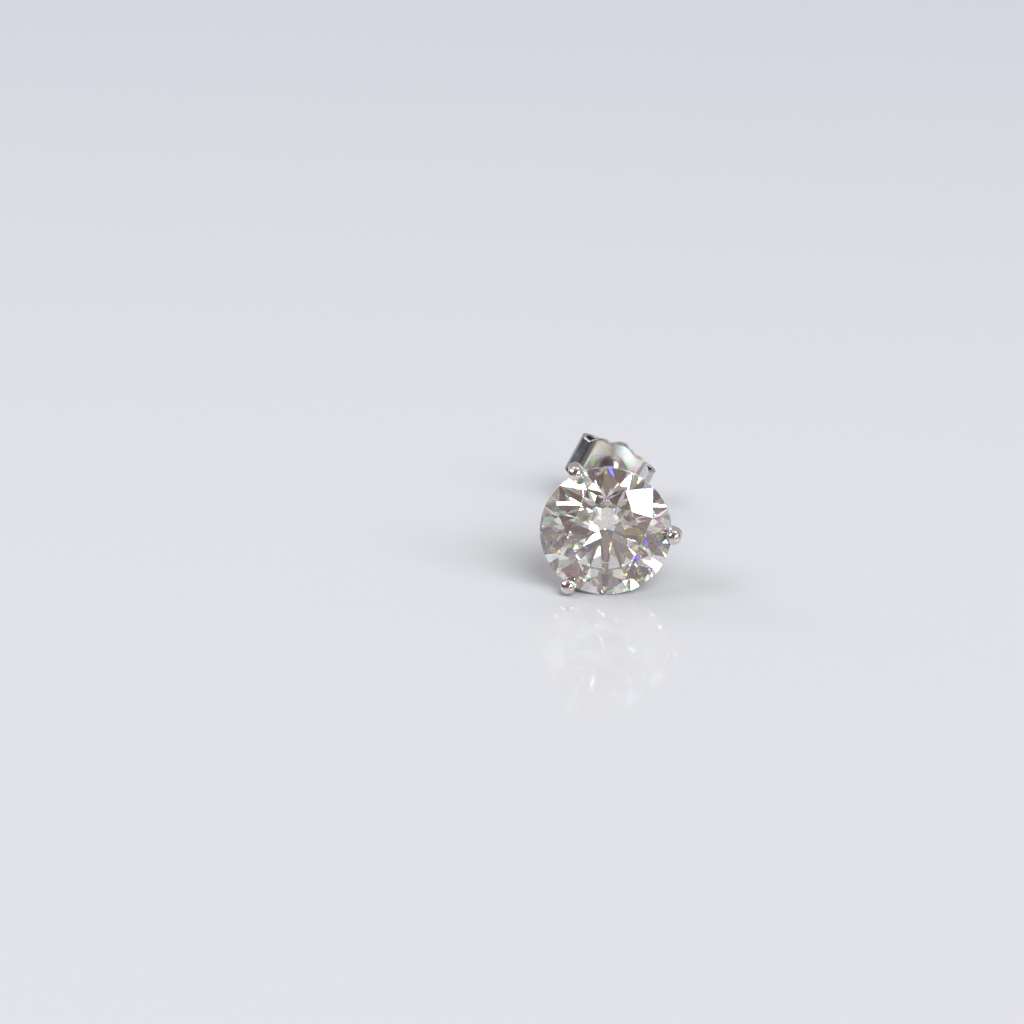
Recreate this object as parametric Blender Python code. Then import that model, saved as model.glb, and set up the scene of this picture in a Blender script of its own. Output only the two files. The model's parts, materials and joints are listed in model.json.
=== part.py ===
"""Stud earring: a round brilliant in a three-prong martini setting, with a butterfly clutch on its post.

The earring is modelled along its own axis, with the table towards +Z, the post towards -Z and the
middle of the stone's girdle at the origin. A last step lays it down as it comes to rest on a level
surface: on the edge of the stone, on the heel of one prong and on a corner of the clutch, with the stone
facing -Y. Metres, +Z up, and the origin is the middle of the footprint, on the surface.
"""

import math

import bmesh
import bpy
import numpy as np
from mathutils import Matrix, Vector

# Stone
STONE_DIAMETER = 0.008
TABLE_DIAMETER = 0.00456
CROWN_HEIGHT = 0.00118
GIRDLE_THICKNESS = 0.00024
PAVILION_DEPTH = 0.00344
STAR_LENGTH = 0.00095
LOWER_HALF_LENGTH = 0.00308
FACET_FOLD = 8
GIRDLE_STEPS = 5
STONE_TURN_DEG = 33.0

# Prongs
PRONG_COUNT = 3
PRONG_RADIUS = 0.0004
PRONG_BEND_RADIUS = 0.0006
PRONG_LEAN_DEG = 16.0
BEAD_RADIUS = 0.00048
BEAD_STAND_OFF = 0.00012
BEAD_RISE = 0.0002
STONE_CLEARANCE = 0.00005
PAVILION_GAP = 0.00012

# Foot and post
FOOT_RADIUS = 0.00095
SHOULDER_RADIUS = 0.0008
FOOT_HEIGHT = 0.0012
CULET_CLEARANCE = 0.0003
POST_RADIUS = 0.00045
POST_LENGTH = 0.011
NOTCH_DEPTH = 0.00009
NOTCH_WIDTH = 0.0007

# Clutch
SHEET_THICKNESS = 0.00028
STRIP_WIDTH = 0.0025
SCROLL_RADIUS = 0.001
SCROLL_TIGHTENING = 0.0002
SCROLL_TURN_DEG = 320.0
MIDDLE_LOBE_HEIGHT = 0.0044
MIDDLE_LOBE_RADIUS = 0.00095
SIDE_LOBE_HEIGHT = 0.0037
SIDE_LOBE_RADIUS = 0.00065
SIDE_LOBE_REACH = 0.0011
DIMPLE_RADIUS = 0.00085
DIMPLE_DEPTH = 0.00026
RUNNING_CLEARANCE = 0.00008
CLUTCH_FROM_TIP = 0.0031
CLUTCH_TURN_DEG = -27.0

# Facets of the round shapes
TURNED_SIDES = 32
PRONG_SIDES = 14
BEND_STEPS = 5
BEAD_STEPS = 9
PLATE_COLUMNS = 34
SCROLL_COLUMNS = 24
SHEET_ROWS = 13
ROW_CROWDING = 0.3

# Places along the axis that several pieces share
STONE_RADIUS = STONE_DIAMETER / 2
GIRDLE_TOP = GIRDLE_THICKNESS / 2
GIRDLE_BOTTOM = -GIRDLE_THICKNESS / 2
TABLE_Z = GIRDLE_TOP + CROWN_HEIGHT
CULET_Z = GIRDLE_BOTTOM - PAVILION_DEPTH
PAVILION_ANGLE = math.atan2(PAVILION_DEPTH, STONE_RADIUS)
FOOT_TOP_Z = CULET_Z - CULET_CLEARANCE
SHOULDER_Z = FOOT_TOP_Z - FOOT_HEIGHT
POST_TIP_Z = SHOULDER_Z - POST_LENGTH
CLUTCH_PLATE_Z = POST_TIP_Z + CLUTCH_FROM_TIP
NOTCH_Z = CLUTCH_PLATE_Z - SCROLL_RADIUS


def clear_scene():
    for item in list(bpy.data.objects):
        bpy.data.objects.remove(item, do_unlink=True)


def material(name, colour, metallic, roughness, transmission=0.0, ior=1.45):
    made = bpy.data.materials.new(name)
    made.use_nodes = True
    shader = made.node_tree.nodes["Principled BSDF"]
    shader.inputs["Base Color"].default_value = (*colour, 1.0)
    shader.inputs["Metallic"].default_value = metallic
    shader.inputs["Roughness"].default_value = roughness
    shader.inputs["Transmission Weight"].default_value = transmission
    shader.inputs["IOR"].default_value = ior
    return made


def add_object(name, points, faces, finish):
    """A mesh object whose normals are made to point outwards."""
    mesh = bpy.data.meshes.new(name)
    mesh.from_pydata([tuple(p) for p in points], [], faces)
    shape = bmesh.new()
    shape.from_mesh(mesh)
    bmesh.ops.recalc_face_normals(shape, faces=shape.faces)
    shape.to_mesh(mesh)
    shape.free()
    mesh.materials.append(finish)
    made = bpy.data.objects.new(name, mesh)
    bpy.context.scene.collection.objects.link(made)
    return made


def as_helper(item):
    """Leaves a piece that only cuts or joins out of the finished object."""
    item.hide_render = True
    item.display_type = "WIRE"
    return item


def boolean(item, helper, operation):
    modifier = item.modifiers.new(f"{operation.lower()}_{helper.name}", "BOOLEAN")
    modifier.operation = operation
    modifier.solver = "EXACT"
    modifier.object = helper


def at(radius, azimuth, z):
    return Vector((radius * math.cos(azimuth), radius * math.sin(azimuth), z))


def turned(name, profile, finish):
    """A solid of revolution. The profile is (radius, z) from one end of the axis to the other."""
    points = [Vector((0.0, 0.0, profile[0][1]))]
    for radius, z in profile[1:-1]:
        points += [at(radius, 2 * math.pi * i / TURNED_SIDES, z) for i in range(TURNED_SIDES)]
    points.append(Vector((0.0, 0.0, profile[-1][1])))
    last = len(points) - 1
    rings = len(profile) - 2
    faces = []
    for i in range(TURNED_SIDES):
        j = (i + 1) % TURNED_SIDES
        faces.append((0, 1 + j, 1 + i))
        for ring in range(rings - 1):
            a = 1 + ring * TURNED_SIDES
            b = a + TURNED_SIDES
            faces.append((a + i, a + j, b + j, b + i))
        end = 1 + (rings - 1) * TURNED_SIDES
        faces.append((last, end + i, end + j))
    return add_object(name, points, faces, finish)


def height_on_plane(three_points, x, y):
    """The z of the plane through three points, over the place x, y."""
    first, second, third = three_points
    normal = (second - first).cross(third - first)
    return first.z - (normal.x * (x - first.x) + normal.y * (y - first.y)) / normal.z


def star_tip():
    """(radius, z) where a star facet ends between two kite facets."""
    half_step = math.pi / FACET_FOLD
    radius = TABLE_DIAMETER / 2 * math.cos(half_step) + STAR_LENGTH
    slope = CROWN_HEIGHT / (STONE_RADIUS - TABLE_DIAMETER / 2)
    return radius, TABLE_Z - (radius * math.cos(half_step) - TABLE_DIAMETER / 2) * slope


def lower_half_tip():
    """(radius, z) where two lower girdle facets end between two pavilion mains."""
    half_step = math.pi / FACET_FOLD
    radius = STONE_RADIUS - LOWER_HALF_LENGTH
    slope = math.tan(PAVILION_ANGLE)
    return radius, GIRDLE_BOTTOM - (STONE_RADIUS - radius * math.cos(half_step)) * slope


def brilliant(finish):
    """The 57 facets of a round brilliant: table, stars, kites, upper halves, lower halves and mains."""
    half_step = math.pi / FACET_FOLD
    turn = math.radians(STONE_TURN_DEG)
    around = 2 * FACET_FOLD * GIRDLE_STEPS
    table = [at(TABLE_DIAMETER / 2, turn + 2 * half_step * k, TABLE_Z) for k in range(FACET_FOLD)]
    star_radius, star_z = star_tip()
    low_radius, low_z = lower_half_tip()
    stars = [at(star_radius, turn + half_step * (2 * k + 1), star_z) for k in range(FACET_FOLD)]
    lows = [at(low_radius, turn + half_step * (2 * k + 1), low_z) for k in range(FACET_FOLD)]

    def edge_of_girdle(rim_z, tips):
        rim = []
        for i in range(around):
            half = i // GIRDLE_STEPS
            ends = [at(STONE_RADIUS, turn + half_step * (half + side), rim_z) for side in (0, 1)]
            point = at(STONE_RADIUS, turn + half_step * i / GIRDLE_STEPS, rim_z)
            point.z = height_on_plane((*ends, tips[half // 2]), point.x, point.y)
            rim.append(point)
        return rim

    points = table + stars + edge_of_girdle(GIRDLE_TOP, stars)
    upper = 2 * FACET_FOLD
    lower = upper + around
    points += edge_of_girdle(GIRDLE_BOTTOM, lows) + lows + [Vector((0.0, 0.0, CULET_Z))]
    low_first = lower + around
    culet = len(points) - 1
    faces = [tuple(range(FACET_FOLD))]
    for k in range(FACET_FOLD):
        following = (k + 1) % FACET_FOLD
        before = (k - 1) % FACET_FOLD
        start = 2 * GIRDLE_STEPS * k
        star, low = FACET_FOLD + k, low_first + k
        faces.append((k, star, following))
        faces.append((k, FACET_FOLD + before, upper + start, star))
        faces.append((culet, low, lower + start, low_first + before))
        for half in range(2):
            first = start + GIRDLE_STEPS * half
            arc = [(first + i) % around for i in range(GIRDLE_STEPS + 1)]
            faces.append((star, *[upper + i for i in arc]))
            faces.append((low, *[lower + i for i in reversed(arc)]))
    for i in range(around):
        j = (i + 1) % around
        faces.append((upper + i, lower + i, lower + j, upper + j))
    return add_object("round_brilliant_stone", points, faces, finish)


def heading(angle):
    """A direction in the plane of a prong, as (away from the axis, towards the table)."""
    return Vector((math.cos(angle), math.sin(angle)))


def prong_stations():
    """(place, direction, radius) along a prong: out beside the pavilion, round the heel, up to the bead."""
    out = heading(PAVILION_ANGLE)
    off = PRONG_RADIUS + PAVILION_GAP
    beside = Vector((STONE_RADIUS, GIRDLE_BOTTOM)) + heading(PAVILION_ANGLE - math.pi / 2) * off
    lean = math.pi / 2 + math.radians(PRONG_LEAN_DEG)
    up = heading(lean)
    bead = Vector((STONE_RADIUS + BEAD_STAND_OFF, GIRDLE_TOP + BEAD_RISE))
    apart = bead - beside
    corner = beside + out * ((apart.x * up.y - apart.y * up.x) / (out.x * up.y - out.y * up.x))
    turn = lean - PAVILION_ANGLE
    tangent = PRONG_BEND_RADIUS * math.tan(turn / 2)
    bend_start = corner - out * tangent
    bend_centre = bend_start + heading(PAVILION_ANGLE + math.pi / 2) * PRONG_BEND_RADIUS
    stations = [(beside - out * (beside.x / out.x), out, PRONG_RADIUS), (bend_start, out, PRONG_RADIUS)]
    for i in range(1, BEND_STEPS + 1):
        angle = PAVILION_ANGLE + turn * i / BEND_STEPS
        place = bend_centre + heading(angle - math.pi / 2) * PRONG_BEND_RADIUS
        stations.append((place, heading(angle), PRONG_RADIUS))
    neck = math.pi - math.asin(PRONG_RADIUS / BEAD_RADIUS)
    for i in range(BEAD_STEPS):
        angle = neck * (1 - i / BEAD_STEPS)
        place = bead + up * (BEAD_RADIUS * math.cos(angle))
        stations.append((place, up, BEAD_RADIUS * math.sin(angle)))
    return stations, bead + up * BEAD_RADIUS


def prong(index, finish):
    """A wire that ends in a bead."""
    stations, tip = prong_stations()
    azimuth = 2 * math.pi * index / PRONG_COUNT
    radial = Vector((math.cos(azimuth), math.sin(azimuth), 0.0))
    sideways = Vector((-math.sin(azimuth), math.cos(azimuth), 0.0))
    axis = Vector((0.0, 0.0, 1.0))
    points = []
    for place, direction, radius in stations:
        across = radial * -direction.y + axis * direction.x
        middle = radial * place.x + axis * place.y
        for side in range(PRONG_SIDES):
            angle = 2 * math.pi * side / PRONG_SIDES
            points.append(middle + (across * math.cos(angle) + sideways * math.sin(angle)) * radius)
    points.append(radial * tip.x + axis * tip.y)
    faces = [tuple(range(PRONG_SIDES))]
    for ring in range(len(stations) - 1):
        a = ring * PRONG_SIDES
        b = a + PRONG_SIDES
        for side in range(PRONG_SIDES):
            following = (side + 1) % PRONG_SIDES
            faces.append((a + side, a + following, b + following, b + side))
    last = (len(stations) - 1) * PRONG_SIDES
    for side in range(PRONG_SIDES):
        faces.append((last + side, last + (side + 1) % PRONG_SIDES, len(points) - 1))
    return as_helper(add_object(f"prong_{index + 1}", points, faces, finish))


def foot_and_post(finish):
    """The turned foot that the prongs are soldered into, and the post with its notch and round end."""
    round_end = [
        (POST_RADIUS * math.cos(angle), POST_TIP_Z + POST_RADIUS * (1 - math.sin(angle)))
        for angle in (0.0, math.radians(30), math.radians(60), math.radians(80))
    ]
    notch_radius = POST_RADIUS - NOTCH_DEPTH
    notch_half = NOTCH_WIDTH / 2
    profile = [
        (0.0, FOOT_TOP_Z),
        (FOOT_RADIUS, FOOT_TOP_Z),
        (SHOULDER_RADIUS, SHOULDER_Z),
        (POST_RADIUS, SHOULDER_Z),
        (POST_RADIUS, NOTCH_Z + notch_half),
        (notch_radius, NOTCH_Z + notch_half - NOTCH_DEPTH),
        (notch_radius, NOTCH_Z - notch_half + NOTCH_DEPTH),
        (POST_RADIUS, NOTCH_Z - notch_half),
        *round_end,
        (0.0, POST_TIP_Z),
    ]
    return turned("three_prong_setting", profile, finish)


def seat_bur(finish):
    """What the setter's bur takes out of the prongs: the stone's outline, turned, with its clearance."""
    star_radius, star_z = star_tip()
    gap = STONE_CLEARANCE
    crown_angle = math.atan2(star_z - GIRDLE_TOP, STONE_RADIUS - star_radius)
    crown_out = Vector((math.sin(crown_angle), math.cos(crown_angle))) * gap
    pavilion_down = gap / math.cos(PAVILION_ANGLE)
    profile = [
        (0.0, TABLE_Z + gap),
        (TABLE_DIAMETER / 2 + gap, TABLE_Z + gap),
        (star_radius + crown_out.x, star_z + crown_out.y),
        (STONE_RADIUS + gap, GIRDLE_TOP + crown_out.y),
        (STONE_RADIUS + gap, GIRDLE_BOTTOM - pavilion_down / 2),
        (0.0, CULET_Z - pavilion_down),
    ]
    return as_helper(turned("seat_bur", profile, finish))


def setting(finish):
    made = foot_and_post(finish)
    for index in range(PRONG_COUNT):
        boolean(made, prong(index, finish), "UNION")
    boolean(made, seat_bur(finish), "DIFFERENCE")
    return made


def scroll_radius(angle):
    return SCROLL_RADIUS - SCROLL_TIGHTENING * angle / math.radians(SCROLL_TURN_DEG)


def plate_half_length():
    """Where the scrolls start, so that each comes round to the post with its running clearance."""
    nearest = scroll_radius(math.radians(270)) + SHEET_THICKNESS / 2
    return POST_RADIUS + RUNNING_CLEARANCE + nearest


def lobed_half_height(along):
    """Half the sheet's height along the strip, which has a tall middle lobe and a lower one each side."""
    height = STRIP_WIDTH / 2
    lobes = (
        (0.0, MIDDLE_LOBE_RADIUS, MIDDLE_LOBE_HEIGHT / 2),
        (-SIDE_LOBE_REACH, SIDE_LOBE_RADIUS, SIDE_LOBE_HEIGHT / 2),
        (SIDE_LOBE_REACH, SIDE_LOBE_RADIUS, SIDE_LOBE_HEIGHT / 2),
    )
    for centre, radius, top in lobes:
        if abs(along - centre) < radius:
            arc = math.sqrt(radius**2 - (along - centre) ** 2)
            height = max(height, top - radius + arc)
    return height


def sheet_stations():
    """(x, z, normal, half height) along the strip: one scroll, the plate and the other scroll."""
    half_length = plate_half_length()
    full_turn = math.radians(SCROLL_TURN_DEG)
    plate = []
    for i in range(PLATE_COLUMNS + 1):
        x = half_length * (2 * i / PLATE_COLUMNS - 1)
        plate.append((x, 0.0, (0.0, 1.0), lobed_half_height(x)))
    scroll = []
    for i in range(1, SCROLL_COLUMNS + 1):
        angle = full_turn * i / SCROLL_COLUMNS
        x = half_length + scroll_radius(angle) * math.sin(angle)
        z = scroll_radius(angle) * math.cos(angle) - SCROLL_RADIUS
        along = half_length + scroll_radius(angle / 2) * angle
        scroll.append((x, z, (math.sin(angle), math.cos(angle)), lobed_half_height(along)))
    mirrored = [(-x, z, (-n[0], n[1]), h) for x, z, n, h in reversed(scroll)]
    return mirrored + plate + scroll


def row_shares():
    """Places across the sheet, from -1 at one edge to 1 at the other, closer together by the post."""
    steps = [2 * i / (SHEET_ROWS - 1) - 1 for i in range(SHEET_ROWS)]
    return [step * (1 - ROW_CROWDING * (1 - step**2)) for step in steps]


def clutch_sheet(finish):
    """The sheet with its two faces, pressed to a dimple round the post."""
    stations = sheet_stations()
    shares = row_shares()
    rows = SHEET_ROWS
    columns = len(stations)
    first_plate = SCROLL_COLUMNS
    points = []
    for side in (0.5, -0.5):
        for column, (x, z, normal, half_height) in enumerate(stations):
            on_plate = first_plate <= column <= first_plate + PLATE_COLUMNS
            for share in shares:
                y = share * half_height
                far = math.hypot(x, y) / DIMPLE_RADIUS
                pressed = DIMPLE_DEPTH * (1 - far**2) ** 2 if on_plate and far < 1 else 0.0
                away = side * SHEET_THICKNESS
                points.append((x + normal[0] * away, y, z + normal[1] * away - pressed))

    def index(side, column, row):
        return (side * columns + column) * rows + row

    faces = []
    for column in range(columns - 1):
        for row in range(rows - 1):
            corners = ((column, row), (column + 1, row), (column + 1, row + 1), (column, row + 1))
            faces.append([index(0, *corner) for corner in corners])
            faces.append([index(1, *corner) for corner in reversed(corners)])
        for row, turn in ((0, 1), (rows - 1, -1)):
            edge = [index(0, column, row), index(1, column, row)]
            edge += [index(1, column + 1, row), index(0, column + 1, row)]
            faces.append(edge[::turn])
    for row in range(rows - 1):
        for column, turn in ((0, 1), (columns - 1, -1)):
            edge = [index(0, column, row), index(0, column, row + 1)]
            edge += [index(1, column, row + 1), index(1, column, row)]
            faces.append(edge[::turn])
    return add_object("butterfly_clutch", points, faces, finish)


def clutch(finish):
    """The stamped sheet with its post hole, at its place on the post."""
    made = clutch_sheet(finish)
    hole_radius = POST_RADIUS + RUNNING_CLEARANCE
    reach = SHEET_THICKNESS + DIMPLE_DEPTH
    drill = [
        (0.0, SHEET_THICKNESS),
        (hole_radius, SHEET_THICKNESS),
        (hole_radius, -reach),
        (0.0, -reach),
    ]
    boolean(made, as_helper(turned("post_drill", drill, finish)), "DIFFERENCE")
    return made


def local_points(item):
    """The finished piece's vertices in its own frame."""
    graph = bpy.context.evaluated_depsgraph_get()
    evaluated = item.evaluated_get(graph)
    mesh = evaluated.to_mesh()
    found = np.array([vertex.co[:] for vertex in mesh.vertices])
    evaluated.to_mesh_clear()
    return found


def laid_down(tilt, roll):
    """Turns +Z to -Y with the table looking up by tilt, after a turn about the earring's own axis."""
    return Matrix.Rotation(math.pi / 2 - tilt, 4, "X") @ Matrix.Rotation(roll, 4, "Z")


def lowest(points, turn):
    return float((points @ np.array(turn.to_3x3()).T)[:, 2].min())


def solve(function, low, high):
    """The place between low and high where the function changes sign."""
    sign = function(low) > 0
    for _ in range(40):
        middle = (low + high) / 2
        if (function(middle) > 0) == sign:
            low = middle
        else:
            high = middle
    return (low + high) / 2


def rest_pose(stone, metal, clutch_item):
    """(tilt, roll) at which the stone, one prong's heel and the clutch all touch a level surface."""
    stone_points = local_points(stone)
    metal_points = local_points(metal)
    clutch_points = local_points(clutch_item)
    prong_points = metal_points[metal_points[:, 2] > CULET_Z]
    clutch_points = clutch_points + np.array((0.0, 0.0, CLUTCH_PLATE_Z))
    clutch_turn = math.radians(CLUTCH_TURN_DEG)
    level_prong = math.radians(-120)
    roll = level_prong
    tilt = math.radians(8)
    for _ in range(6):
        roll = level_prong + solve(
            lambda more: lowest(prong_points, laid_down(tilt, level_prong + more))
            - lowest(stone_points, laid_down(tilt, level_prong + more)),
            math.radians(-30),
            math.radians(30),
        )
        tilt = solve(
            lambda angle: lowest(clutch_points, laid_down(angle, clutch_turn))
            - lowest(stone_points, laid_down(angle, roll)),
            0.0,
            math.radians(40),
        )
    return tilt, roll


def main():
    clear_scene()
    diamond = material("diamond", (0.96, 0.97, 0.94), 0.0, 0.0, transmission=1.0, ior=2.417)
    white_gold = material("white_gold", (0.83, 0.80, 0.77), 1.0, 0.12)
    pressed_gold = material("pressed_white_gold", (0.80, 0.78, 0.74), 1.0, 0.2)
    stone = brilliant(diamond)
    metal = setting(white_gold)
    back = clutch(pressed_gold)
    tilt, roll = rest_pose(stone, metal, back)
    turn = laid_down(tilt, roll)
    clutch_place = Matrix.Translation((0.0, 0.0, CLUTCH_PLATE_Z))
    clutch_turn = laid_down(tilt, math.radians(CLUTCH_TURN_DEG)) @ clutch_place
    placed = {stone: turn, metal: turn, back: clutch_turn}
    corners = np.concatenate([
        local_points(item) @ np.array(place.to_3x3()).T + np.array(place.translation)
        for item, place in placed.items()
    ])
    middle = (corners.min(axis=0) + corners.max(axis=0)) / 2
    rest = bpy.data.objects.new("earring_at_rest", None)
    rest.location = (-middle[0], -middle[1], -corners[:, 2].min())
    bpy.context.scene.collection.objects.link(rest)
    for item, place in placed.items():
        item.parent = rest
        item.matrix_local = place
    for helper in bpy.data.objects:
        if helper.hide_render:
            helper.parent = metal if helper.name != "post_drill" else back


main()
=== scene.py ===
import bmesh
import bpy
import json
import math
from mathutils import Matrix, Vector


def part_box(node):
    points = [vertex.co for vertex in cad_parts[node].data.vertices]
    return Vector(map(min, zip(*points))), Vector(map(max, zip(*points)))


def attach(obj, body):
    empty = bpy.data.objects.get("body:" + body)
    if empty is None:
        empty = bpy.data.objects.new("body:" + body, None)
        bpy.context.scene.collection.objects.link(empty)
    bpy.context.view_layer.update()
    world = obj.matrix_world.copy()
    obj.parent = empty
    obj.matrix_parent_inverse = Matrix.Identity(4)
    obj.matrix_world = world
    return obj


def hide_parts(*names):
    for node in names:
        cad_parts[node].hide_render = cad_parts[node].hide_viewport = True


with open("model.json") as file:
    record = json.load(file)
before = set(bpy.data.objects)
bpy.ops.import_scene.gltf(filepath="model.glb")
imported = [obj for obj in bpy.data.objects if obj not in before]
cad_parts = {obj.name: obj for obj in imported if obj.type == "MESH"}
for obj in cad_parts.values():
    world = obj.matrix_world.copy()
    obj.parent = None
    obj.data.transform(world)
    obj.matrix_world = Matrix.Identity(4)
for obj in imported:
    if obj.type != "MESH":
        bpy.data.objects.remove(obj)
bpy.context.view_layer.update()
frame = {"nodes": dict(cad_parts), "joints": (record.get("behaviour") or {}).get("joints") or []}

# Camera
# A long lens looks down on the stone from just right of the earring's own axis. That axis runs from the
# post's tip to the table of the stone, which faces -Y and a little up, and passes the girdle's middle.
MM = 0.001
TABLE_SIDE = Vector(frame["joints"][0]["axis"]).normalized()
CULET_DEPTH = 3.56 * MM
stone_low, stone_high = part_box("round_brilliant_stone")
girdle_middle = (stone_low + stone_high) / 2
girdle_middle.y = stone_high.y - CULET_DEPTH * abs(TABLE_SIDE.y)
CAMERA_ELEVATION = math.radians(23)
CAMERA_AZIMUTH = math.radians(2)
CAMERA_DISTANCE = 0.355
FIELD_OF_VIEW = math.radians(10)
FROM_GIRDLE_TO_AIM = Vector((-5.7023, 0.2539, 1.0665)) * MM
towards_camera = Vector((
    math.sin(CAMERA_AZIMUTH) * math.cos(CAMERA_ELEVATION),
    -math.cos(CAMERA_AZIMUTH) * math.cos(CAMERA_ELEVATION),
    math.sin(CAMERA_ELEVATION),
))
lens = bpy.data.cameras.new("long_lens")
lens.sensor_width = 36
lens.lens = lens.sensor_width / 2 / math.tan(FIELD_OF_VIEW / 2)
lens.clip_start = 0.01
lens.clip_end = 20
camera = bpy.data.objects.new("camera", lens)
camera.location = girdle_middle + FROM_GIRDLE_TO_AIM + towards_camera * CAMERA_DISTANCE
camera.rotation_euler = towards_camera.to_track_quat("Z", "Y").to_euler()
bpy.context.scene.collection.objects.link(camera)
bpy.context.scene.camera = camera

# Surface
# A smooth white acrylic sheet under the earring, with painted shade: its colour turns a little greyer and
# bluer far behind it. It is wide enough to fill every view, and is no part of the earring.
ACRYLIC_RADIUS = 3.0
ACRYLIC_IOR = 1.49
ACRYLIC_SHINE = 0.22
ACRYLIC_ROUGHNESS = (0.04, 0.08)
NEAR_LIT_TONE = (0.365, 0.367, 0.383, 1)
FAR_SHADED_TONE = (0.322, 0.334, 0.364, 1)
SHADE_FADE_LENGTH = 0.15
CLOUD_SCALE = 18.0
SHADE_EDGE_DRIFT = 0.012


def node(tree, kind, links=None, **values):
    """Adds a node, sets its fields and unlinked inputs by name, and links its inputs."""
    made = tree.nodes.new(kind)
    for name, value in values.items():
        setattr(made, name, value)
    for socket, value in (links or {}).items():
        if isinstance(value, bpy.types.NodeSocket):
            tree.links.new(value, made.inputs[socket])
        else:
            made.inputs[socket].default_value = value
    return made


def finish_tree(name):
    """A new material and its empty node tree."""
    made = bpy.data.materials.new(name)
    made.use_nodes = True
    made.node_tree.nodes.clear()
    return made, made.node_tree


def output(tree, shader):
    """Ends a material in its shader."""
    node(tree, "ShaderNodeOutputMaterial", {"Surface": shader})


sheet_mesh = bpy.data.meshes.new("white_sheet")
sheet_shape = bmesh.new()
bmesh.ops.create_circle(sheet_shape, cap_ends=True, radius=ACRYLIC_RADIUS, segments=96)
sheet_shape.to_mesh(sheet_mesh)
sheet_shape.free()
white_sheet = bpy.data.objects.new("white_sheet", sheet_mesh)
bpy.context.scene.collection.objects.link(white_sheet)
acrylic, tree = finish_tree("white_acrylic")
place = node(tree, "ShaderNodeTexCoord")
cloud = node(tree, "ShaderNodeTexNoise", {
    "Vector": place.outputs["Object"], "Scale": CLOUD_SCALE, "Detail": 2.0,
})
away = node(tree, "ShaderNodeSeparateXYZ", {"Vector": place.outputs["Object"]})
# Painted shade: along +Y the sheet's colour fades from the near tone to a darker, bluer far tone, its edge
# wobbled by the cloud.
shade_depth = node(tree, "ShaderNodeMath", {
    0: cloud.outputs["Fac"], 1: SHADE_EDGE_DRIFT, 2: away.outputs["Y"],
}, operation="MULTIPLY_ADD")
shade_fade = node(tree, "ShaderNodeMapRange", {
    "Value": shade_depth.outputs[0], "From Min": 0.0, "From Max": SHADE_FADE_LENGTH,
}, interpolation_type="SMOOTHSTEP")
painted_shade = node(tree, "ShaderNodeValToRGB", {"Fac": shade_fade.outputs["Result"]})
painted_shade.color_ramp.elements[0].color = NEAR_LIT_TONE
painted_shade.color_ramp.elements[1].color = FAR_SHADED_TONE
gloss = node(tree, "ShaderNodeMapRange", {
    "Value": cloud.outputs["Fac"], "To Min": ACRYLIC_ROUGHNESS[0], "To Max": ACRYLIC_ROUGHNESS[1],
})
shader = node(tree, "ShaderNodeBsdfPrincipled", {
    "Base Color": painted_shade.outputs["Color"], "Roughness": gloss.outputs["Result"], "IOR": ACRYLIC_IOR,
    "Specular IOR Level": ACRYLIC_SHINE,
})
output(tree, shader.outputs["BSDF"])
sheet_mesh.materials.append(acrylic)

# Light
# A room for taking pictures in, whose pale walls, clutter, dim corners and small bright panes give the
# stone and the metal something to mirror. White softboxes stand round them, and a fill lights the sheet.
LOW_WALL = (0.72, 0.74, 0.78)
HIGH_WALL = (0.47, 0.48, 0.51)
BACK_WALL = (0.42, 0.44, 0.48)
WHITE_CARDS = (1.05, 1.06, 1.08)
OLIVE_CLUTTER = (0.33, 0.33, 0.27)
UMBER_CLUTTER = (0.15, 0.11, 0.10)
TAUPE_DIMNESS = (0.40, 0.375, 0.33)
BROWN_DIMNESS = (0.24, 0.18, 0.165)
DARK_DIMNESS = (0.105, 0.070, 0.070)
LOW_DIMNESS = (0.38, 0.33, 0.31)
SLATE_DIMNESS = (0.06, 0.07, 0.09)
BACKDROP = (0.70, 0.71, 0.75)
CLUTTER_SCALE = 3.4
room = bpy.data.worlds.new("room")
room.use_nodes = True
bpy.context.scene.world = room
tree = room.node_tree
tree.nodes.clear()
look = node(tree, "ShaderNodeTexCoord").outputs["Generated"]
height = node(tree, "ShaderNodeSeparateXYZ", {"Vector": look}).outputs["Z"]


def direction(azimuth, elevation):
    """The way to a place in the room, from the camera's side round to +X, in degrees."""
    azimuth, elevation = math.radians(azimuth), math.radians(elevation)
    return Vector((
        math.sin(azimuth) * math.cos(elevation),
        -math.cos(azimuth) * math.cos(elevation),
        math.sin(elevation),
    ))


def ramp(value, start, end, low=0.0, high=1.0):
    """A soft step of a value from low to high."""
    made = node(tree, "ShaderNodeMapRange", {
        "Value": value, "From Min": start, "From Max": end, "To Min": low, "To Max": high,
    }, interpolation_type="SMOOTHSTEP")
    return made.outputs["Result"]


def round_patch(azimuth, elevation, inner, outer):
    """1 within the inner angle of a place in the room and 0 beyond the outer one, in degrees."""
    way = direction(azimuth, elevation)
    cosine = node(tree, "ShaderNodeVectorMath", {0: look, 1: way}, operation="DOT_PRODUCT")
    return ramp(cosine.outputs["Value"], math.cos(math.radians(outer)), math.cos(math.radians(inner)))


def over(below, colour, mask):
    """One colour of the room laid over what is there, by a mask."""
    blend = node(tree, "ShaderNodeMix", {0: mask}, data_type="RGBA")
    for socket, value in ((6, below), (7, colour)):
        if isinstance(value, bpy.types.NodeSocket):
            tree.links.new(value, blend.inputs[socket])
        else:
            blend.inputs[socket].default_value = (*value, 1)
    return blend.outputs[2]


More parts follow.
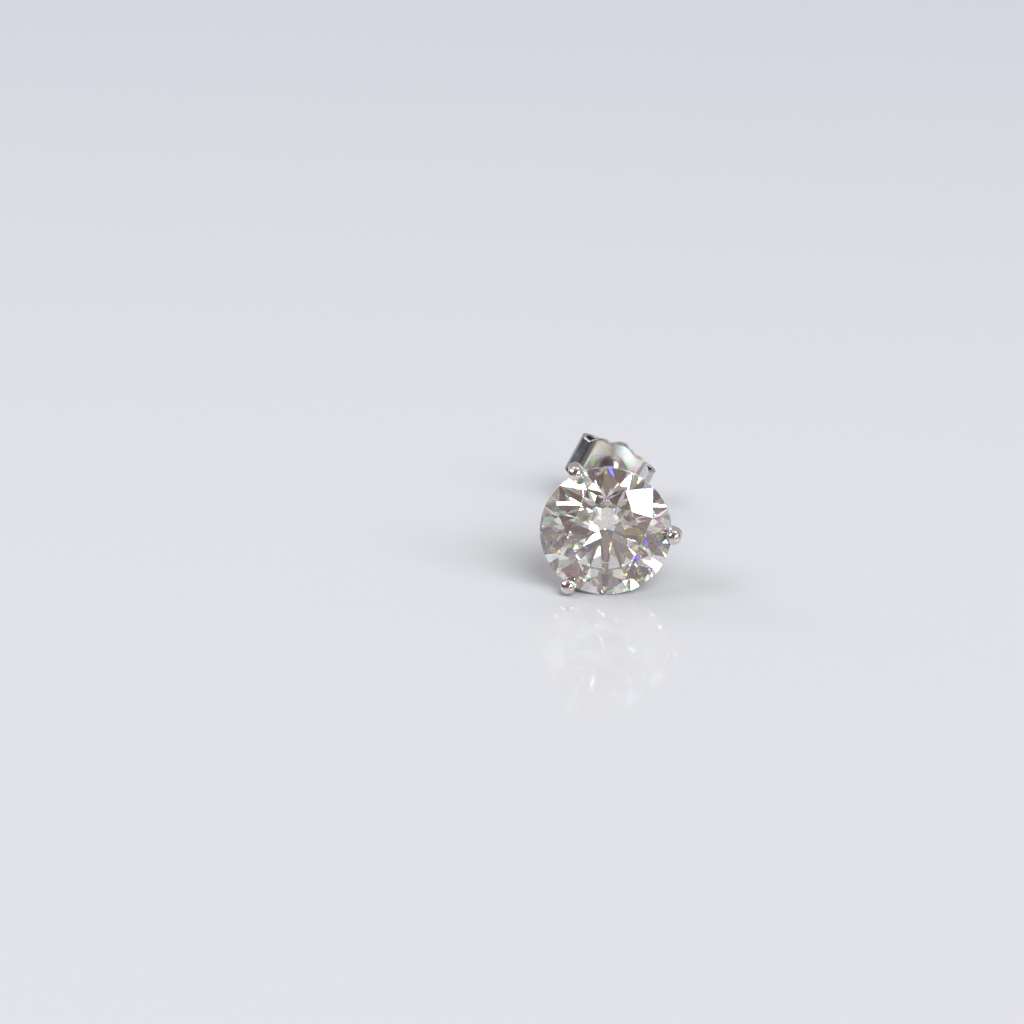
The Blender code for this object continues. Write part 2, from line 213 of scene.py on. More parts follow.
walls = over(LOW_WALL, HIGH_WALL, ramp(height, 0.5, 0.9))
clutter = node(tree, "ShaderNodeTexVoronoi", {"Vector": look, "Scale": CLUTTER_SCALE, "Randomness": 1.0})
shade = node(tree, "ShaderNodeSeparateColor", {"Color": clutter.outputs["Color"]})
walls = over(walls, WHITE_CARDS, ramp(shade.outputs["Red"], 0.58, 0.62))
walls = over(walls, OLIVE_CLUTTER, ramp(shade.outputs["Green"], 0.62, 0.66))
walls = over(walls, UMBER_CLUTTER, ramp(shade.outputs["Blue"], 0.74, 0.78))
walls = over(walls, BACK_WALL, round_patch(180, 10, 25, 60))
dim = over(DARK_DIMNESS, BROWN_DIMNESS, ramp(shade.outputs["Blue"], 0.45, 0.6))
dim = over(dim, LOW_DIMNESS, ramp(height, 0.05, 0.22, 0.6, 0.0))
walls = over(walls, TAUPE_DIMNESS, round_patch(0, 30, 62, 72))
walls = over(walls, dim, round_patch(-2, 26, 42, 48))
low_left = node(tree, "ShaderNodeMath", {
    0: round_patch(-86, 5, 36, 44), 1: ramp(height, 0.26, 0.34, 1.0, 0.0),
}, operation="MULTIPLY")
walls = over(walls, SLATE_DIMNESS, low_left.outputs[0])
PANE_EDGE = 0.3
PANES = (
    # azimuth, elevation and reach in degrees, light
    (12, 3, 3.2, 4.0),
    (8, 40, 2.0, 3.0),
    (-16, 2, 3.0, 2.2),
    (-31, 19, 2.2, 3.0),
)
for azimuth, elevation, reach, light in PANES:
    walls = over(walls, (light, light, light), round_patch(azimuth, elevation, reach - PANE_EDGE, reach))
# Seen past the sheet's far edge, the room is one plain tone.
path = node(tree, "ShaderNodeLightPath")
shown = over(walls, BACKDROP, path.outputs["Is Camera Ray"])
glow = node(tree, "ShaderNodeBackground", {"Color": shown, "Strength": 1.0})
node(tree, "ShaderNodeOutputWorld", {"Surface": glow.outputs["Background"]})
room.cycles.sampling_method = "MANUAL"
room.cycles.sample_map_resolution = 512
LAMP_TINT = (0.98, 0.99, 1.0)
SOFTBOX_DISTANCE = 1.5
SOFTBOXES = (
    # azimuth, elevation, half width and half height in degrees, light
    (56, 31, 12, 11, 9.5),
    (-76, 45, 12, 11, 8.4),
    (-112, 30, 7, 10, 7.4),
    (26, 21, 5, 7, 5.0),
    (138, 56, 14, 9, 2.4),
    (-152, 48, 10, 9, 3.2),
)
for azimuth, elevation, half_width, half_height, light in SOFTBOXES:
    lamp = bpy.data.lights.new("softbox", "AREA")
    lamp.shape = "RECTANGLE"
    lamp.size = 2 * SOFTBOX_DISTANCE * math.tan(math.radians(half_width))
    lamp.size_y = 2 * SOFTBOX_DISTANCE * math.tan(math.radians(half_height))
    lamp.energy = light * math.pi * lamp.size * lamp.size_y
    lamp.color = LAMP_TINT
    softbox = bpy.data.objects.new("softbox", lamp)
    softbox.location = direction(azimuth, elevation) * SOFTBOX_DISTANCE
    softbox.rotation_euler = softbox.location.to_track_quat("Z", "Y").to_euler()
    softbox.visible_camera = False
    bpy.context.scene.collection.objects.link(softbox)

# The fill comes over the camera's right side and lights the sheet alone: no polished face mirrors it.
FILL_AZIMUTH = 28
FILL_ELEVATION = 48
FILL_STRENGTH = 4.06
FILL_SPREAD = math.radians(36)
fill_lamp = bpy.data.lights.new("fill", "SUN")
fill_lamp.energy = FILL_STRENGTH
fill_lamp.angle = FILL_SPREAD
fill_lamp.color = LAMP_TINT
fill = bpy.data.objects.new("fill", fill_lamp)
fill.rotation_euler = direction(FILL_AZIMUTH, FILL_ELEVATION).to_track_quat("Z", "Y").to_euler()
fill.visible_camera = False
fill.visible_glossy = False
fill.visible_transmission = False
bpy.context.scene.collection.objects.link(fill)

bpy.context.scene.view_settings.view_transform = "Standard"
cycles = bpy.context.scene.cycles
cycles.max_bounces = 24
cycles.glossy_bounces = 20
cycles.transmission_bounces = 20
cycles.diffuse_bounces = 2
cycles.sample_clamp_indirect = 12.0

# Stone
# A colourless round brilliant, ground and polished to 57 flat facets that meet in crisp edges. The thin
# girdle between crown and pavilion is left as it was turned. The prongs' seats hold the stone there.
STONE_RADIUS = 4.0 * MM
TABLE_RADIUS = 2.28 * MM
CROWN_HEIGHT = 1.18 * MM
HALF_GIRDLE = 0.12 * MM
STAR_LENGTH = 0.95 * MM
LOWER_HALF_LENGTH = 3.08 * MM
FOLD = 8
GIRDLE_STEPS = 8
HALF_STEP = math.pi / FOLD
TABLE_HEIGHT = HALF_GIRDLE + CROWN_HEIGHT
PAVILION_SLOPE = (CULET_DEPTH - HALF_GIRDLE) / STONE_RADIUS
ABOVE_THE_STARS = 1.2 * MM
FAR_CORNER_WEIGHT = 8
SAME_POINT = 1e-5 * MM
STONE_MERGE = 1e-4 * MM
UPRIGHT_FACE = 0.1


def across_axis():
    """Two directions square to the earring's axis: level and to the right, and upwards."""
    right = Vector((1.0, 0.0, 0.0))
    return right, TABLE_SIDE.cross(right)


def laid(turn, along=0.0):
    """Takes a shape from the earring's own axis to its place, after a turn about that axis."""
    right, up = across_axis()
    lie = Matrix((right, up, TABLE_SIDE)).transposed().to_4x4()
    place = Matrix.Translation(girdle_middle)
    return place @ lie @ Matrix.Rotation(turn, 4, "Z") @ Matrix.Translation((0, 0, along))


def turn_of(piece, fold, from_height=-math.inf):
    """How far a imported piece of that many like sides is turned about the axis. Far corners count most."""
    right, up = across_axis()
    total = 0j
    for vertex in frame["nodes"][piece].data.vertices:
        away = vertex.co - girdle_middle
        if away.dot(TABLE_SIDE) > from_height:
            corner = complex(away.dot(right), away.dot(up)) / MM
            total += corner**fold * abs(corner) ** FAR_CORNER_WEIGHT
    return math.atan2(total.imag, total.real) / fold


def at(radius, angle, height):
    """A place by its distance from the axis, its angle about it and its height along it."""
    return Vector((radius * math.cos(angle), radius * math.sin(angle), height))


def height_on_plane(corners, place):
    """The height over a place of the plane through three corners."""
    normal = (corners[1] - corners[0]).cross(corners[2] - corners[0])
    gap = place - corners[0]
    return corners[0].z - (normal.x * gap.x + normal.y * gap.y) / normal.z


def mesh_of(name, points, faces):
    """A mesh from points and faces, with doubles merged and its faces turned outwards."""
    made = bpy.data.meshes.new(name)
    made.from_pydata([tuple(point) for point in points], [], faces)
    shape = bmesh.new()
    shape.from_mesh(made)
    bmesh.ops.remove_doubles(shape, verts=shape.verts, dist=SAME_POINT)
    bmesh.ops.recalc_face_normals(shape, faces=shape.faces)
    shape.to_mesh(made)
    shape.free()
    return made


def star_corner():
    """(radius, height) of the corner where a star facet ends between two kites."""
    radius = TABLE_RADIUS * math.cos(HALF_STEP) + STAR_LENGTH
    slope = CROWN_HEIGHT / (STONE_RADIUS - TABLE_RADIUS)
    return radius, TABLE_HEIGHT - (radius * math.cos(HALF_STEP) - TABLE_RADIUS) * slope


def lower_corner():
    """(radius, height) of the corner where two lower halves end between two pavilion mains."""
    radius = STONE_RADIUS - LOWER_HALF_LENGTH
    return radius, -HALF_GIRDLE - (STONE_RADIUS - radius * math.cos(HALF_STEP)) * PAVILION_SLOPE


def stone_eighth():
    """One eighth of the stone: a kite, a star, two upper halves, the girdle, two lower halves, a main."""
    star_radius, star_height = star_corner()
    low_radius, low_height = lower_corner()
    table = [at(TABLE_RADIUS, 2 * HALF_STEP * side, TABLE_HEIGHT) for side in (0, 1)]
    star = [at(star_radius, HALF_STEP * side, star_height) for side in (-1, 1)]
    low = [at(low_radius, HALF_STEP * side, low_height) for side in (-1, 1)]

    def rim(height, tip):
        """An edge of the girdle, scalloped where the two facets that reach the tip meet it."""
        found = []
        for half in (0, 1):
            ends = [at(STONE_RADIUS, HALF_STEP * (half + side), height) for side in (0, 1)]
            for i in range(GIRDLE_STEPS + half):
                point = at(STONE_RADIUS, HALF_STEP * (half + i / GIRDLE_STEPS), height)
                point.z = height_on_plane((*ends, tip), point)
                found.append(point)
        return found

    top, bottom = rim(HALF_GIRDLE, star[1]), rim(-HALF_GIRDLE, low[1])
    middle, culet = Vector((0, 0, TABLE_HEIGHT)), Vector((0, 0, -CULET_DEPTH))
    corners = [middle, *table, *star, *low, culet, *top, *bottom]
    first_top = 8
    first_bottom = first_top + len(top)
    faces = [
        (0, 1, 2),
        (1, 4, 2),
        (1, 3, first_top, 4),
        (7, 6, first_bottom, 5),
    ]
    for half in (0, 1):
        arc = range(GIRDLE_STEPS * half, GIRDLE_STEPS * (half + 1) + 1)
        faces.append((4, *[first_top + i for i in arc]))
        faces.append((6, *[first_bottom + i for i in reversed(arc)]))
    for i in range(2 * GIRDLE_STEPS):
        faces.append((first_top + i, first_bottom + i, first_bottom + i + 1, first_top + i + 1))
    return mesh_of("stone_eighth", corners, faces)


def round_the_axis():
    """Geometry Nodes that set like copies of a shape round the earring's axis and join them."""
    made = bpy.data.node_groups.new("round_the_axis", "GeometryNodeTree")
    made.interface.new_socket("Geometry", in_out="INPUT", socket_type="NodeSocketGeometry")
    made.interface.new_socket("Copies", in_out="INPUT", socket_type="NodeSocketInt")
    made.interface.new_socket("Merge", in_out="INPUT", socket_type="NodeSocketFloat")
    made.interface.new_socket("Material", in_out="INPUT", socket_type="NodeSocketMaterial")
    made.interface.new_socket("Geometry", in_out="OUTPUT", socket_type="NodeSocketGeometry")
    given = node(made, "NodeGroupInput").outputs
    places = node(made, "GeometryNodePoints", {"Count": given["Copies"]})
    step = node(made, "ShaderNodeMath", {0: math.tau, 1: given["Copies"]}, operation="DIVIDE")
    index = node(made, "GeometryNodeInputIndex")
    turn = node(made, "ShaderNodeMath", {0: index.outputs[0], 1: step.outputs[0]}, operation="MULTIPLY")
    euler = node(made, "ShaderNodeCombineXYZ", {"Z": turn.outputs[0]})
    rotation = node(made, "FunctionNodeEulerToRotation", {0: euler.outputs[0]})
    copies = node(made, "GeometryNodeInstanceOnPoints", {
        "Points": places.outputs[0], "Instance": given["Geometry"], "Rotation": rotation.outputs[0],
    })
    real = node(made, "GeometryNodeRealizeInstances", {"Geometry": copies.outputs[0]})
    joined = node(made, "GeometryNodeMergeByDistance", {
        "Geometry": real.outputs[0], "Distance": given["Merge"],
    })
    dressed = node(made, "GeometryNodeSetMaterial", {
        "Geometry": joined.outputs[0], "Material": given["Material"],
    })
    node(made, "NodeGroupOutput", {"Geometry": dressed.outputs[0]})
    return made


round_the_axis_tree = round_the_axis()


def repeated(name, mesh, copies, merge, finish):
    """A plain mesh of like copies of a mesh round the axis."""
    item = bpy.data.objects.new(name, mesh)
    bpy.context.scene.collection.objects.link(item)
    modifier = item.modifiers.new("round_the_axis", "NODES")
    modifier.node_group = round_the_axis_tree
    sockets = {
        socket.name: socket.identifier
        for socket in round_the_axis_tree.interface.items_tree if socket.in_out == "INPUT"
    }
    modifier[sockets["Copies"]] = copies
    modifier[sockets["Merge"]] = merge
    modifier[sockets["Material"]] = finish
    bpy.context.view_layer.update()
    evaluated = item.evaluated_get(bpy.context.evaluated_depsgraph_get())
    made = bpy.data.meshes.new_from_object(evaluated)
    bpy.data.objects.remove(item)
    made.name = name
    return made


def add_piece(name, mesh, place):
    """The finished piece, with its place in its mesh."""
    mesh.transform(place)
    made = bpy.data.objects.new(name, mesh)
    bpy.context.scene.collection.objects.link(made)
    return made


CLEAR = (0.988, 0.988, 0.974)
DIAMOND_IOR = 2.417
FIRE = (
    # part of the light, how much the stone bends it as it enters
    ((1, 0, 0), 2.408),
    ((0, 1, 0), DIAMOND_IOR),
    ((0, 0, 1), 2.438),
)
GIRDLE_GRAIN = 6000.0
GIRDLE_ROUGHNESS = (0.2, 0.5)
diamond, tree = finish_tree("polished_diamond")
plain = node(tree, "ShaderNodeBsdfGlass", {
    "Color": (*CLEAR, 1), "Roughness": 0.0, "IOR": DIAMOND_IOR,
})
entering = None
for colour, ior in FIRE:
    part = node(tree, "ShaderNodeBsdfGlass", {
        "Color": (*[a * b for a, b in zip(CLEAR, colour)], 1), "Roughness": 0.0, "IOR": ior,
    })
    if entering:
        entering = node(tree, "ShaderNodeAddShader", {0: entering.outputs[0], 1: part.outputs[0]})
    else:
        entering = part
side = node(tree, "ShaderNodeNewGeometry").outputs["Backfacing"]
glass = node(tree, "ShaderNodeMixShader", {0: side, 1: entering.outputs[0], 2: plain.outputs[0]})
output(tree, glass.outputs[0])

frosted, tree = finish_tree("frosted_girdle")
place = node(tree, "ShaderNodeTexCoord").outputs["Object"]
grain = node(tree, "ShaderNodeTexNoise", {"Vector": place, "Scale": GIRDLE_GRAIN, "Detail": 2.0})
roughness = node(tree, "ShaderNodeMapRange", {
    "Value": grain.outputs["Fac"], "To Min": GIRDLE_ROUGHNESS[0], "To Max": GIRDLE_ROUGHNESS[1],
})
glass = node(tree, "ShaderNodeBsdfGlass", {
    "Color": (*CLEAR, 1), "Roughness": roughness.outputs["Result"], "IOR": DIAMOND_IOR,
})
output(tree, glass.outputs["BSDF"])

stone_mesh = repeated("brilliant_cut_diamond", stone_eighth(), FOLD, STONE_MERGE, diamond)
stone_mesh.shade_flat()
stone_mesh.materials.clear()
for finish in (diamond, frosted):
    stone_mesh.materials.append(finish)
for facet in stone_mesh.polygons:
    facet.material_index = int(abs(facet.normal.z) < UPRIGHT_FACE)
stone_turn = turn_of("round_brilliant_stone", FOLD, ABOVE_THE_STARS)
stone = add_piece("brilliant_cut_diamond", stone_mesh, laid(stone_turn))
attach(stone, "earring")
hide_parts("round_brilliant_stone")

# Setting
# Three white gold wires run from a turned foot along the pavilion, bend round a heel beside the girdle
# and end in polished beads over the stone's edge. Foot, wires and post are soldered into one piece.
WIRE_RADIUS = 0.40 * MM
WIRE_GAP = 0.12 * MM
HEEL_RADIUS = 0.60 * MM
WIRE_LEAN = math.radians(16)
BEAD_RADIUS = 0.48 * MM
BEAD_OUT = 0.12 * MM
BEAD_UP = 0.20 * MM
SEAT_GAP = 0.02 * MM
FOOT_RADIUS = 0.95 * MM
SHOULDER_RADIUS = 0.80 * MM
POST_RADIUS = 0.45 * MM
NOTCH_DEPTH = 0.09 * MM
NOTCH_WIDTH = 0.70 * MM
NOTCH_EASE = 0.12 * MM
EDGE_EASE = 0.06 * MM
SOLDER_REACH = 0.9 * MM
SOLDER_SWELL = 0.10 * MM
FOOT_TOP = -3.86 * MM
SHOULDER = -5.06 * MM
POST_TIP = -16.05 * MM
TIP_EASE = 0.9 * POST_RADIUS
CLUTCH_AT = -12.96 * MM
NOTCH_AT = -13.96 * MM
PRONG_COUNT = 3
WIRE_SIDES = 40
STRAIGHT_STEPS = 24
BEND_STEPS = 18
BEAD_STEPS = 22
EASE_STEPS = 8
TURNED_SIDES = 72
WIRE_MERGE = 1e-6 * MM
BELOW_THE_HEELS = -1.0 * MM
SETTING_CREASE = math.radians(32)
PAVILION_ANGLE = math.atan(PAVILION_SLOPE)


def heading(angle):
    """A direction beside the axis: (away from it, towards the table)."""
    return Vector((math.cos(angle), math.sin(angle)))


def wire_stations():
    """(place, direction, radius) along one wire, from inside the foot to the bead."""
    out = heading(PAVILION_ANGLE)
    girdle = Vector((STONE_RADIUS, -HALF_GIRDLE))
    beside = girdle + heading(PAVILION_ANGLE - math.pi / 2) * (WIRE_RADIUS + WIRE_GAP)
    lean = math.pi / 2 + WIRE_LEAN
    up = heading(lean)
    bead = Vector((STONE_RADIUS + BEAD_OUT, HALF_GIRDLE + BEAD_UP))
    apart = bead - beside
    corner = beside + out * ((apart.x * up.y - apart.y * up.x) / (out.x * up.y - out.y * up.x))
    turn = lean - PAVILION_ANGLE
    bend_start = corner - out * (HEEL_RADIUS * math.tan(turn / 2))
    bend_middle = bend_start + heading(PAVILION_ANGLE + math.pi / 2) * HEEL_RADIUS
    first = beside - out * (beside.x / out.x)
    straight = (bend_start - first).length
    stations = []
    for i in range(STRAIGHT_STEPS):
        along = straight * i / STRAIGHT_STEPS
        solder = math.exp(-((along / SOLDER_REACH) ** 2)) * SOLDER_SWELL
        stations.append((first + out * along, out, WIRE_RADIUS + solder))
    for i in range(BEND_STEPS + 1):
        angle = PAVILION_ANGLE + turn * i / BEND_STEPS
        place = bend_middle + heading(angle - math.pi / 2) * HEEL_RADIUS
        stations.append((place, heading(angle), WIRE_RADIUS))
    neck = math.pi - math.asin(WIRE_RADIUS / BEAD_RADIUS)
    for i in range(BEAD_STEPS):
        angle = neck * (1 - i / BEAD_STEPS)
        stations.append((bead + up * (BEAD_RADIUS * math.cos(angle)), up, BEAD_RADIUS * math.sin(angle)))
    return stations, bead + up * BEAD_RADIUS


def wire_mesh():
    """One wire with its bead, on the +X side of the axis."""
    stations, tip = wire_stations()
    points = []
    for place, way, radius in stations:
        for side in range(WIRE_SIDES):
            angle = math.tau * side / WIRE_SIDES
            across = radius * math.cos(angle)
            points.append((place.x - way.y * across, radius * math.sin(angle), place.y + way.x * across))
    points.append((tip.x, 0.0, tip.y))
    faces = [tuple(range(WIRE_SIDES))]
    for ring in range(len(stations) - 1):
        for side in range(WIRE_SIDES):
            a, b = ring * WIRE_SIDES + side, ring * WIRE_SIDES + (side + 1) % WIRE_SIDES
            faces.append((a, b, b + WIRE_SIDES, a + WIRE_SIDES))
    last = (len(stations) - 1) * WIRE_SIDES
    faces += [(last + i, last + (i + 1) % WIRE_SIDES, len(points) - 1) for i in range(WIRE_SIDES)]
    return mesh_of("wire", points, faces)


def eased(corners):
    """A profile of (radius, height, rounding) corners, each turned into an arc where it has a rounding."""
    found = []
    for i, (radius, height, rounding) in enumerate(corners):
        here = Vector((radius, height))
        if not rounding or i in (0, len(corners) - 1):
            found.append(here)
            continue
        before = (Vector(corners[i - 1][:2]) - here).normalized()
        after = (Vector(corners[i + 1][:2]) - here).normalized()
        half = before.angle(after) / 2
        middle = here + (before + after).normalized() * (rounding / math.sin(half))
        start = here + before * (rounding / math.tan(half)) - middle
        end = here + after * (rounding / math.tan(half)) - middle
        sweep = start.angle_signed(end)
        for step in range(EASE_STEPS + 1):
            turned = Matrix.Rotation(-sweep * step / EASE_STEPS, 2)
            found.append(middle + turned @ start)
    return found


def turned_mesh(name, profile):
    """A solid of revolution about the earring's axis, closed at both ends on the axis."""
    points, faces = [], []
    for radius, height in profile:
        points += [at(radius, math.tau * side / TURNED_SIDES, height) for side in range(TURNED_SIDES)]
    for ring in range(len(profile) - 1):
        for side in range(TURNED_SIDES):
            a, b = ring * TURNED_SIDES + side, ring * TURNED_SIDES + (side + 1) % TURNED_SIDES
            faces.append((a, b, b + TURNED_SIDES, a + TURNED_SIDES))
    return mesh_of(name, points, faces)


def foot_and_post():
    """The turned foot with its flat back, the post with the clutch's notch, and the post's round tip."""
    half = NOTCH_WIDTH / 2
    return eased([
        (0.0, FOOT_TOP, 0),
        (FOOT_RADIUS, FOOT_TOP, EDGE_EASE),
        (SHOULDER_RADIUS, SHOULDER, EDGE_EASE),
        (POST_RADIUS, SHOULDER, EDGE_EASE),
        (POST_RADIUS, NOTCH_AT + half, NOTCH_EASE),
        (POST_RADIUS - NOTCH_DEPTH, NOTCH_AT + half - NOTCH_DEPTH, NOTCH_EASE),
        (POST_RADIUS - NOTCH_DEPTH, NOTCH_AT - half + NOTCH_DEPTH, NOTCH_EASE),
        (POST_RADIUS, NOTCH_AT - half, NOTCH_EASE),
        (POST_RADIUS, POST_TIP, TIP_EASE),
        (0.0, POST_TIP, 0),
    ])


def seat_cutter():
    """What the setter's bur takes out of the wires: the turned outline of the stone, just clear of it."""
    star_radius, star_height = star_corner()
    gap = SEAT_GAP
    # The shares of the gap on the crown and at the culet keep it even, measured square to their slopes.
    return [
        Vector((0.0, TABLE_HEIGHT + gap)),
        Vector((TABLE_RADIUS + gap, TABLE_HEIGHT + gap)),
        Vector((star_radius + gap * 0.6, star_height + gap * 0.9)),
        Vector((STONE_RADIUS + gap, HALF_GIRDLE + gap)),
        Vector((STONE_RADIUS + gap, -HALF_GIRDLE - gap)),
        Vector((0.0, -CULET_DEPTH - gap * 1.4)),
    ]


def joined(base, helpers):
    """The base mesh after a Boolean with each (operation, mesh), as a plain mesh."""
    item = bpy.data.objects.new("base", base)
    bpy.context.scene.collection.objects.link(item)
    others = []
    for operation, mesh in helpers:
        other = bpy.data.objects.new("helper", mesh)
        bpy.context.scene.collection.objects.link(other)
        modifier = item.modifiers.new(operation, "BOOLEAN")
        modifier.operation = operation
        modifier.solver = "EXACT"
        modifier.use_self = operation == "UNION"
        modifier.object = other
        others.append(other)
    bpy.context.view_layer.update()
    made = bpy.data.meshes.new_from_object(item.evaluated_get(bpy.context.evaluated_depsgraph_get()))
    for other in [item, *others]:
        bpy.data.objects.remove(other)
    return made


HAIR_SCALE = 1500.0
HAIR_TURN = (0.4, 0.2, 0.6)
HAIR_STRETCH = (1.0, 14.0, 3.0)
HAIR_DEPTH = 0.01 * MM
CLOUD_SHADE = 0.95


def polished_gold(name, colour, least, most, grain, scratch):
    """White gold: its polish varies in soft clouds, and hair lines from wear catch the light."""
    made, tree = finish_tree(name)
    place = node(tree, "ShaderNodeTexCoord").outputs["Object"]
    cloud = node(tree, "ShaderNodeTexNoise", {"Vector": place, "Scale": grain, "Detail": 4.0})
    polish = node(tree, "ShaderNodeMapRange", {
        "Value": cloud.outputs["Fac"], "From Min": 0.35, "From Max": 0.7, "To Min": least, "To Max": most,
    })
    tint = node(tree, "ShaderNodeValToRGB", {"Fac": cloud.outputs["Fac"]})
    tint.color_ramp.elements[0].color = (*[part * CLOUD_SHADE for part in colour], 1)
    tint.color_ramp.elements[1].color = (*colour, 1)
    stretch = node(tree, "ShaderNodeMapping", {
        "Vector": place, "Rotation": HAIR_TURN, "Scale": HAIR_STRETCH,
    })
    hair = node(tree, "ShaderNodeTexNoise", {
        "Vector": stretch.outputs[0], "Scale": HAIR_SCALE, "Detail": 3.0,
    })
    lines = node(tree, "ShaderNodeBump", {
        "Height": hair.outputs["Fac"], "Strength": scratch, "Distance": HAIR_DEPTH,
    })
    shader = node(tree, "ShaderNodeBsdfPrincipled", {
        "Base Color": tint.outputs["Color"], "Metallic": 1.0, "Roughness": polish.outputs["Result"],
        "Normal": lines.outputs["Normal"],
    })
    output(tree, shader.outputs["BSDF"])
    return made


POLISHED_TONE = (0.78, 0.705, 0.69)
white_gold = polished_gold(
    "polished_white_gold", POLISHED_TONE, least=0.03, most=0.09, grain=900.0, scratch=0.05)
wires = repeated("three_wires", wire_mesh(), PRONG_COUNT, WIRE_MERGE, white_gold)
setting_mesh = joined(turned_mesh("foot", foot_and_post()), [
    ("UNION", wires),
    ("DIFFERENCE", turned_mesh("seat_cutter", seat_cutter())),
])
setting_mesh.materials.clear()
setting_mesh.materials.append(white_gold)
setting_mesh.shade_smooth()
setting_mesh.set_sharp_from_angle(angle=SETTING_CREASE)
setting_turn = turn_of("three_prong_setting", PRONG_COUNT, BELOW_THE_HEELS)
setting = add_piece("martini_setting", setting_mesh, laid(setting_turn))
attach(setting, "earring")
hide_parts("three_prong_setting")

# Clutch
# One stamped strip of white gold sheet. Three lobes stand up in its middle, a dimple is pressed round
# the post's hole, and both ends are rolled into scrolls that grip the post from its two sides.
SHEET_THICKNESS = 0.28 * MM
STRIP_HALF_WIDTH = 1.25 * MM
SCROLL_RADIUS = 1.0 * MM
SCROLL_TIGHTENING = 0.20 * MM
SCROLL_TURN = math.radians(320)
LOBES = (
    # centre, radius, top
    (0.0, 0.95 * MM, 2.20 * MM),
    (-1.18 * MM, 0.85 * MM, 1.85 * MM),
    (1.18 * MM, 0.85 * MM, 1.85 * MM),
)
LOBE_BLEND = 0.35 * MM
DIMPLE_RADIUS = 1.15 * MM
DIMPLE_DEPTH = 0.26 * MM
RUNNING_CLEARANCE = 0.08 * MM
PLATE_COLUMNS = 120
SCROLL_COLUMNS = 64
ROWS = 33
ROW_CROWDING = 0.3
HOLE_BLOCK = 0.80 * MM
HOLE_RINGS = 7
RIM_EASE = 0.06 * MM
RIM_CREASE = math.radians(50)
CLUTCH_CREASE = math.radians(40)
STAMPED_TONE = (0.60, 0.59, 0.595)


def scroll_radius(angle):
    """The scroll's radius after an angle of its turn, smaller towards its end."""
    return SCROLL_RADIUS - SCROLL_TIGHTENING * angle / SCROLL_TURN


def lobed_half_height(along):
    """Half the sheet's height at a place along the strip."""
    height = STRIP_HALF_WIDTH
    for centre, radius, top in LOBES:
        off = abs(along - centre)
        lobe = top - radius + math.sqrt(max(radius**2 - off**2, 0.0)) - max(off - radius, 0.0)
        near = max(LOBE_BLEND - abs(height - lobe), 0.0)
        height = max(height, lobe) + near**2 / LOBE_BLEND / 4
    return height


def pressed(x, y):
    """How far the dimple is pressed back at a place on the plate."""
    far = math.hypot(x, y) / DIMPLE_RADIUS
    return DIMPLE_DEPTH * (1 - far**2) ** 2 if far < 1 else 0.0


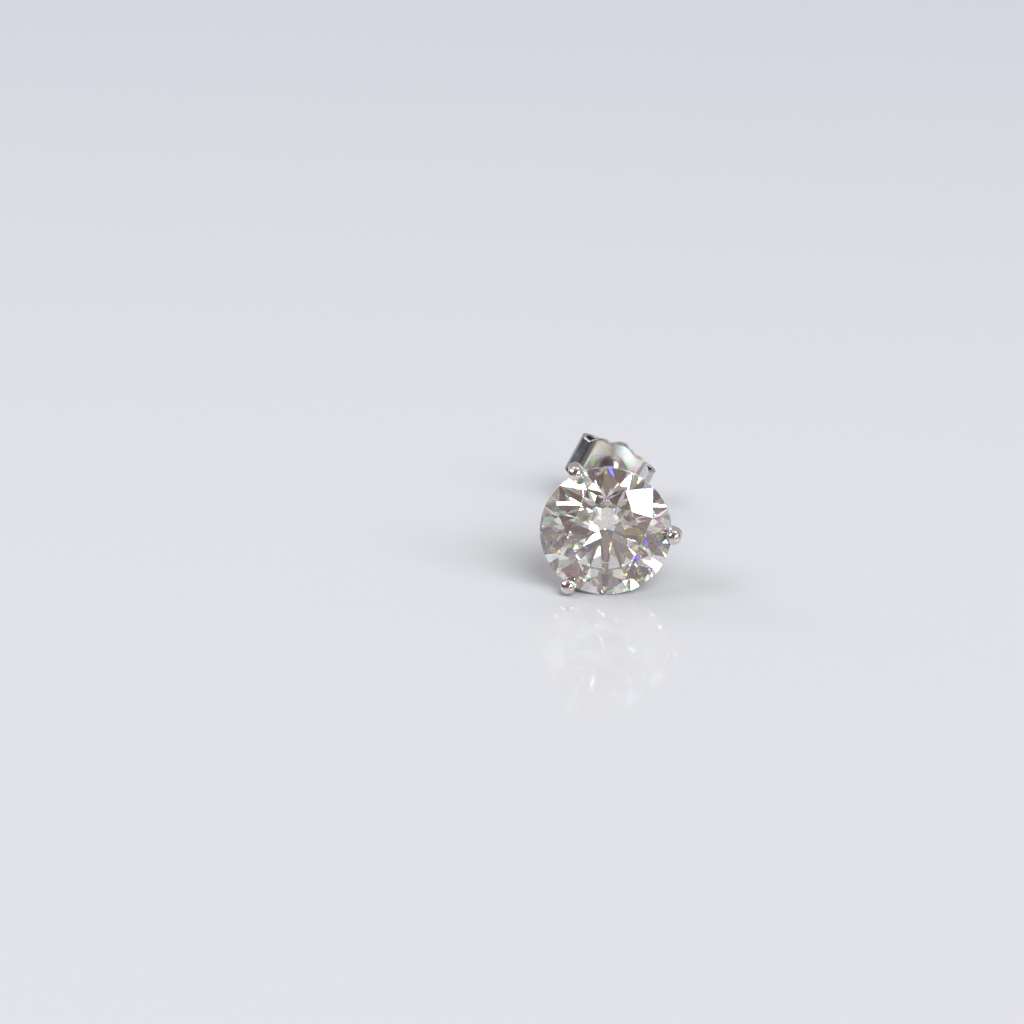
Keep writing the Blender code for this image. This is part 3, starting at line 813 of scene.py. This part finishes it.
def clutch_sheet():
    """Points and faces of the sheet's middle layer: plate, dimple, hole and the two scrolls."""
    nearest = scroll_radius(math.radians(270)) + SHEET_THICKNESS / 2
    half_length = POST_RADIUS + RUNNING_CLEARANCE + nearest
    plate = [half_length * (2 * i / PLATE_COLUMNS - 1) for i in range(PLATE_COLUMNS + 1)]
    stations = [(x, 0.0, lobed_half_height(x)) for x in plate]
    scroll = []
    for i in range(1, SCROLL_COLUMNS + 1):
        angle = SCROLL_TURN * i / SCROLL_COLUMNS
        radius = scroll_radius(angle)
        along = half_length + scroll_radius(angle / 2) * angle
        x = half_length + radius * math.sin(angle)
        scroll.append((x, radius * math.cos(angle) - SCROLL_RADIUS, lobed_half_height(along)))
    stations = [(-x, z, half) for x, z, half in reversed(scroll)] + stations + scroll
    shares = [2 * i / (ROWS - 1) - 1 for i in range(ROWS)]
    shares = [share * (1 - ROW_CROWDING * (1 - share**2)) for share in shares]
    points, faces = [], []
    for column, (x, z, half) in enumerate(stations):
        on_plate = SCROLL_COLUMNS <= column <= SCROLL_COLUMNS + PLATE_COLUMNS
        for share in shares:
            y = share * half
            points.append((x, y, z - (pressed(x, y) if on_plate else 0.0)))
    columns = [i for i, (x, z, _) in enumerate(stations) if z == 0.0 and abs(x) < HOLE_BLOCK]
    middle_half = lobed_half_height(0.0)
    rows = [i for i, share in enumerate(shares) if abs(share * middle_half) < HOLE_BLOCK]
    left, right, low, high = columns[0], columns[-1], rows[0], rows[-1]
    for column in range(len(stations) - 1):
        for row in range(ROWS - 1):
            if left <= column < right and low <= row < high:
                continue
            a = column * ROWS + row
            faces.append((a, a + ROWS, a + ROWS + 1, a + 1))
    border = [(column, low) for column in range(left, right)]
    border += [(right, row) for row in range(low, high)]
    border += [(column, high) for column in range(right, left, -1)]
    border += [(left, row) for row in range(high, low, -1)]
    around = [column * ROWS + row for column, row in border]
    hole = POST_RADIUS + RUNNING_CLEARANCE
    rings = [around]
    for ring in range(1, HOLE_RINGS + 1):
        share = ring / HOLE_RINGS
        found = []
        for index in around:
            x, y = points[index][0], points[index][1]
            angle = math.atan2(y, x)
            x += (hole * math.cos(angle) - x) * share
            y += (hole * math.sin(angle) - y) * share
            found.append(len(points))
            points.append((x, y, -pressed(x, y)))
        rings.append(found)
    for outer, inner in zip(rings, rings[1:]):
        for i in range(len(outer)):
            j = (i + 1) % len(outer)
            faces.append((outer[i], outer[j], inner[j], inner[i]))
    return points, faces


points, faces = clutch_sheet()
strip = bpy.data.meshes.new("clutch_sheet")
strip.from_pydata(points, [], faces)
item = bpy.data.objects.new("clutch_sheet", strip)
bpy.context.scene.collection.objects.link(item)
wall = item.modifiers.new("wall", "SOLIDIFY")
wall.thickness = SHEET_THICKNESS
wall.offset = 0
wall.use_even_offset = True
rim = item.modifiers.new("rim", "BEVEL")
rim.limit_method = "ANGLE"
rim.angle_limit = RIM_CREASE
rim.width = RIM_EASE
rim.segments = 3
bpy.context.view_layer.update()
clutch_mesh = bpy.data.meshes.new_from_object(item.evaluated_get(bpy.context.evaluated_depsgraph_get()))
bpy.data.objects.remove(item)
stamped_gold = polished_gold(
    "stamped_white_gold", STAMPED_TONE, least=0.14, most=0.26, grain=700.0, scratch=0.12)
clutch_mesh.materials.clear()
clutch_mesh.materials.append(stamped_gold)
clutch_mesh.shade_smooth()
clutch_mesh.set_sharp_from_angle(angle=CLUTCH_CREASE)
clutch_turn = turn_of("butterfly_clutch", 2)
clutch = add_piece("butterfly_back", clutch_mesh, laid(clutch_turn, CLUTCH_AT))
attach(clutch, "clutch")
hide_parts("butterfly_clutch")
